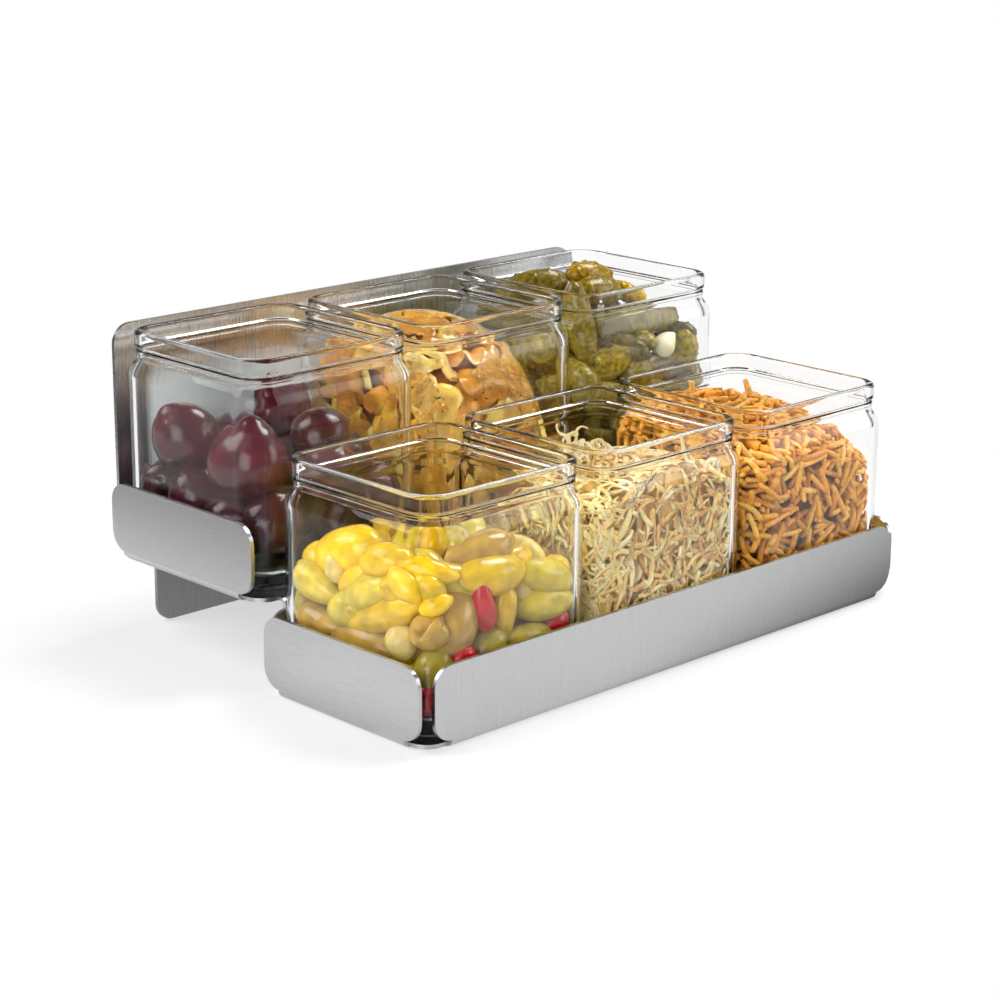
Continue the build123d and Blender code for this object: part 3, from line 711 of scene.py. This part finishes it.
# Onion cooked in syrup is glossy and half clear: it glows amber, and its wrinkles catch the light.
onion_flesh = food_material("syrup_cooked_onion", sheen=0.15, soft=0.45, depth=3.0, mottle_mm=6, mottle=0.22,
                            pit_mm=2.0, pit=0.40, bleed=(1.0, 0.65, 0.25))
food("onion_petals", onion_skins, "jar_rear_middle", "onion_slices", onion_flesh)

# The gherkins: small whole pickled cucumbers with warty, olive to yellow-green skins, and among
# them one peeled garlic clove. They are wet, firm and slightly bent.
olive, dark_olive, golden = "#7E6C20", "#62541C", "#B48E12"
wart_count, wart_rise, wart_size = 60, 0.15, 0.03      # per gherkin, and as shares of its radius and length
gherkin_places = [       # both tips in mm in the jar, radius, bend and colour
    ((-35, -26, 113), (-29, -33, 68), 7.8, 1.0, olive),
    ((-42, -24, 61), (-2, -40, 78), 8.0, 4.0, "#96801C"), ((-4, 9, 107.5), (27, 6, 102), 7.0, 1.0, golden),
    ((-8, -2, 101), (22, -5, 98), 8.0, 1.0, "#8E7614"), ((26, 6, 98), (34, -12, 92), 5.4, 0.5, "#D0AA0A"),
    ((-16, -22, 85), (41, -27, 84), 8.6, 2.0, "#7C6E2C"), ((6, -44, 77), (12, -8, 76), 7.0, 1.0, "#8A7A24"),
    ((38, -40, 80), (32, -36, 52), 8.6, 1.0, "#8C7A1C"),
    ((-8, -41, 63), (44, -40, 63), 7.4, 2.0, dark_olive), ((-34, 28, 99), (-4, 8, 104), 8.0, 1.0, olive),
    ((-38, 40, 84), (-30, -4, 88), 8.0, 2.0, dark_olive), ((36, 40, 80), (4, 20, 88), 8.0, 2.0, olive),
]


def gherkin_level(x, y):
    """How high the hidden gherkins reach, lower towards the glass."""
    return 84 - 0.004 * (x * x + y * y)


chance = np.random.default_rng(67)
taken = [(np.array(start) + end) / 2 for start, end, *_ in gherkin_places]
for place in scatter(chance, tries=2600, spacing=15.5, low=14, level=gherkin_level, taken=taken):
    lie = chance.normal(size=3) * (1, 1, 0.35)
    lie *= chance.uniform(20, 26) / np.linalg.norm(lie)
    hue = [olive, dark_olive, "#8E7C1A", "#776A24"][chance.integers(4)]
    gherkin_places.append((place - lie, place + lie, chance.uniform(7.0, 8.4), chance.uniform(0, 4), hue))
gherkin_skins = []
for start, end, radius, bend, hue in gherkin_places:
    rings, sides = 42, 24
    path, radii = fruit(chance, start, end, radius, rings, sides, belly=0.5, point=-0.12, bend=bend, lumps=0.03)
    along, around = np.meshgrid(np.linspace(0, 1, rings), np.linspace(0, 1, sides, endpoint=False),
                                indexing="ij")
    for _ in range(wart_count):
        wart_along, wart_around = chance.uniform(0.05, 0.95), chance.uniform(0, 1)
        turn = np.abs(around - wart_around)
        apart = ((along - wart_along) * 1.5) ** 2 + np.minimum(turn, 1 - turn) ** 2
        radii = radii * (1 + wart_rise * np.exp(-apart / wart_size ** 2))
    points, faces = skin(path, radii, sides)
    gherkin_skins.append((points, faces, tinted(chance, [hue], 0.12)))
# A pickled gherkin's skin is wet, mottled and warty: deep olive, with small broken highlights.
gherkin_skin = food_material("wet_pickled_gherkin_skin", sheen=0.22, soft=0.10, depth=2.0, mottle_mm=2.4,
                             mottle=0.55, pit_mm=1.2, pit=0.50)
food("pickled_gherkins", gherkin_skins, "jar_rear_right", "gherkins", gherkin_skin, deep=0.6)

clove_tips, clove_radius = ((13, -43, 69), (24, -43, 80)), 6.2
path, radii = fruit(chance, *clove_tips, clove_radius, rings=22, sides=20, belly=0.4, point=0.25, bend=2.5,
                    lumps=0.03)
points, faces = skin(path, radii, sides=20)
# Peeled garlic is smooth, waxy and ivory white.
clove_flesh = food_material("peeled_garlic", sheen=0.22, soft=0.30, depth=3.0, mottle_mm=6, mottle=0.05,
                            pit_mm=3.0, pit=0.10)
food("garlic_clove_peeled", [(points, faces, linear("#EFE5C0"))], "jar_rear_right", "garlic_clove",
     clove_flesh)

# The studio: a white sweep of floor, a pale room whose ceiling and sides are dim, as behind soft
# boxes, so that glass edges and steel have something dark to show, and four soft lamps.
floor_size = 6.0
# Ramps over the floor, in metres, each from the first place to the second. All but the first shape
# the painted pool of light that only mirror images show:
far_ramp = (0.2, 0.45)             # away from the object, from paint to plain white
rightward_ramp = (-0.42, -0.16)    # to the right, out of the pool
beside_ramp = (-0.20, -0.10)       # from beside the left end in under the trays
behind_ramp = (-0.115, -0.09)      # from before the front lip to behind it
leftward_ramp = (-0.38, -0.22)     # from beyond the pool into it


def seen_directly(tree):
    """1 for what the camera sees, straight or by a reflection or through glass."""
    path = add(tree, "ShaderNodeLightPath")
    seen = add(tree, "ShaderNodeMath", {0: path.outputs["Is Camera Ray"], 1: path.outputs["Is Glossy Ray"]},
               operation="MAXIMUM")
    return add(tree, "ShaderNodeMath", {0: seen.outputs[0], 1: path.outputs["Is Transmission Ray"]},
               operation="MAXIMUM").outputs[0]


def painted_sweep():
    """Matt white paint, lifted to white where it is seen, which keeps the object's soft shadow.

    Mirror images alone show a painted pool of light on it: bright at the left and behind, it falls off
    to the right and beyond the left end. This painted reflection gives the lips and flaps their even grey
    and the panel its darker ends."""
    made, tree = new_material("matt_white_sweep")
    apart = add(tree, "ShaderNodeVectorMath", {0: add(tree, "ShaderNodeTexCoord").outputs["Object"]},
                operation="LENGTH").outputs["Value"]
    far = add(tree, "ShaderNodeMapRange", {0: apart, 1: far_ramp[0], 2: far_ramp[1]},
              interpolation_type="SMOOTHSTEP").outputs[0]
    lift = add(tree, "ShaderNodeMapRange", {0: far, 3: 0.55, 4: 1.0}).outputs[0]
    spot = add(tree, "ShaderNodeSeparateXYZ", {0: add(tree, "ShaderNodeTexCoord").outputs["Object"]})
    # The painted pool of light, which only mirror images show, is built from the ramps below.
    rightward = add(tree, "ShaderNodeMath", {0: spot.outputs["Y"], 1: 3.0, 2: spot.outputs["X"]},
                    operation="MULTIPLY_ADD")
    falling = add(tree, "ShaderNodeMapRange", {
        0: rightward.outputs[0], 1: rightward_ramp[0], 2: rightward_ramp[1], 3: 0.92, 4: 0.1})
    beside = add(tree, "ShaderNodeMapRange", {
        0: spot.outputs["X"], 1: beside_ramp[0], 2: beside_ramp[1], 3: 1.2, 4: 0.0})
    behind = add(tree, "ShaderNodeMapRange", {
        0: spot.outputs["Y"], 1: behind_ramp[0], 2: behind_ramp[1], 3: 0.0, 4: 0.8})
    pool = add(tree, "ShaderNodeMath", {0: falling.outputs[0], 1: beside.outputs[0]}, operation="MAXIMUM")
    pool = add(tree, "ShaderNodeMath", {0: pool.outputs[0], 1: behind.outputs[0]}, operation="MAXIMUM")
    leftward = add(tree, "ShaderNodeMapRange", {
        0: spot.outputs["X"], 1: leftward_ramp[0], 2: leftward_ramp[1], 3: 0.12, 4: 1.0},
        interpolation_type="SMOOTHSTEP")
    dimmed = add(tree, "ShaderNodeMath", {0: pool.outputs[0], 1: leftward.outputs[0]}, operation="MULTIPLY")
    path = add(tree, "ShaderNodeLightPath")
    mirrored = add(tree, "ShaderNodeMath", {
        0: path.outputs["Is Glossy Ray"], 1: path.outputs["Is Transmission Ray"]}, operation="SUBTRACT")
    mirrored.use_clamp = True
    shade = add(tree, "ShaderNodeMix", {0: mirrored.outputs[0], 2: 1.0, 3: dimmed.outputs[0]})
    shown = add(tree, "ShaderNodeMath", {0: lift, 1: shade.outputs[0]}, operation="MULTIPLY").outputs[0]
    glow = add(tree, "ShaderNodeMath", {0: seen_directly(tree), 1: shown}, operation="MULTIPLY")
    grey = add(tree, "ShaderNodeMapRange", {0: far, 3: 0.5, 4: 0.0}).outputs[0]
    dulled = add(tree, "ShaderNodeMath", {0: grey, 1: shade.outputs[0]}, operation="MULTIPLY")
    paint = add(tree, "ShaderNodeBsdfDiffuse", {"Color": dulled.outputs[0]})
    light = add(tree, "ShaderNodeEmission", {"Color": (1, 1, 1, 1), "Strength": glow.outputs[0]})
    both = add(tree, "ShaderNodeAddShader", {0: paint.outputs[0], 1: light.outputs[0]})
    add(tree, "ShaderNodeOutputMaterial", {"Surface": both.outputs[0]})
    return made


floor_shape = bpy.data.meshes.new("floor")
reach = floor_size / 2
floor_shape.from_pydata([(-reach, -reach, 0), (reach, -reach, 0), (reach, reach, 0), (-reach, reach, 0)],
                        [], [(0, 1, 2, 3)])
floor_shape.materials.append(painted_sweep())
floor = bpy.data.objects.new("floor", floor_shape)
bpy.context.scene.collection.objects.link(floor)

# The room is white to the camera. Glass and steel show it bright low down behind the object and dim
# elsewhere.
ahead_way = (0.70, 0.71, 0.0)      # from the camera to the object, level
world = bpy.data.worlds.new("pale_room")
world.use_nodes = True
world.node_tree.nodes.clear()
room_tree = world.node_tree
heading = add(room_tree, "ShaderNodeTexCoord").outputs["Generated"]
way_up = add(room_tree, "ShaderNodeSeparateXYZ", {0: heading})
dim = add(room_tree, "ShaderNodeMapRange", {0: way_up.outputs["Z"], 1: 0.05, 2: 0.24, 3: 1.0, 4: 0.3},
          interpolation_type="SMOOTHSTEP")
ahead = add(room_tree, "ShaderNodeVectorMath", {0: heading, 1: ahead_way}, operation="DOT_PRODUCT")
backdrop = add(room_tree, "ShaderNodeMapRange", {0: ahead.outputs["Value"], 1: 0.50, 2: 0.85, 3: 0.12, 4: 1.0},
               interpolation_type="SMOOTHSTEP")
walls = add(room_tree, "ShaderNodeMath", {0: dim.outputs[0], 1: backdrop.outputs[0]}, operation="MULTIPLY")
sees = add(room_tree, "ShaderNodeLightPath").outputs["Is Camera Ray"]
strength = add(room_tree, "ShaderNodeMix", {0: sees, 2: walls.outputs[0], 3: 1.0})
light = add(room_tree, "ShaderNodeBackground", {"Color": (1, 1, 1, 1), "Strength": strength.outputs[0]})
add(room_tree, "ShaderNodeOutputWorld", {"Surface": light.outputs[0]})
bpy.context.scene.world = world

lamps = [                # place and size in metres, and watts
    ("key_soft_box", (-0.9, 0.75, 1.15), 0.9, 12.0),
    ("left_soft_box", (-1.3, -0.5, 0.45), 0.9, 9.0),
    ("front_soft_box", (0.95, -1.0, 0.55), 0.8, 6.0),
    ("top_soft_box", (0.75, -0.1, 1.15), 0.6, 13.0),
]
lamp_target = (0, 0, 0.08)
for name, place, size, power in lamps:
    lamp = bpy.data.lights.new(name, "AREA")
    lamp.size = size
    lamp.energy = power
    soft_box = bpy.data.objects.new(name, lamp)
    soft_box.location = place
    aim = np.array(lamp_target) - np.array(place)
    soft_box.rotation_euler = (math.atan2(math.hypot(aim[0], aim[1]), -aim[2]), 0,
                               math.atan2(aim[1], aim[0]) - math.pi / 2)
    bpy.context.scene.collection.objects.link(soft_box)

# The camera: above the left end and the front, turned a little more than 44 degrees from the row.
camera_place = (-0.8442, -0.8560, 0.4083)
camera_turn, camera_dip, camera_roll = 44.322, 16.25, 0.399    # degrees
camera_lens = 90.49
turn, dip, roll = [math.radians(angle) for angle in (camera_turn, camera_dip, camera_roll)]
forward = np.array([math.sin(turn) * math.cos(dip), math.cos(turn) * math.cos(dip), -math.sin(dip)])
level_right = np.array([math.cos(turn), -math.sin(turn), 0])
level_up = np.cross(level_right, forward)
right = math.cos(roll) * level_right + math.sin(roll) * level_up
up = np.cross(right, forward)
lens = bpy.data.cameras.new("camera")
lens.lens = camera_lens
lens.sensor_width = 36.0
camera = bpy.data.objects.new("camera", lens)
camera.matrix_world = Matrix([[right[i], up[i], -forward[i], camera_place[i]] for i in range(3)]
                             + [[0, 0, 0, 1]])
bpy.context.scene.collection.objects.link(camera)
bpy.context.scene.camera = camera
bpy.context.scene.view_settings.view_transform = "Standard"
bpy.context.scene.cycles.max_bounces = 32                      # light crosses up to eight walls of glass
bpy.context.scene.cycles.transmission_bounces = 32
bpy.context.scene.cycles.transparent_max_bounces = 32
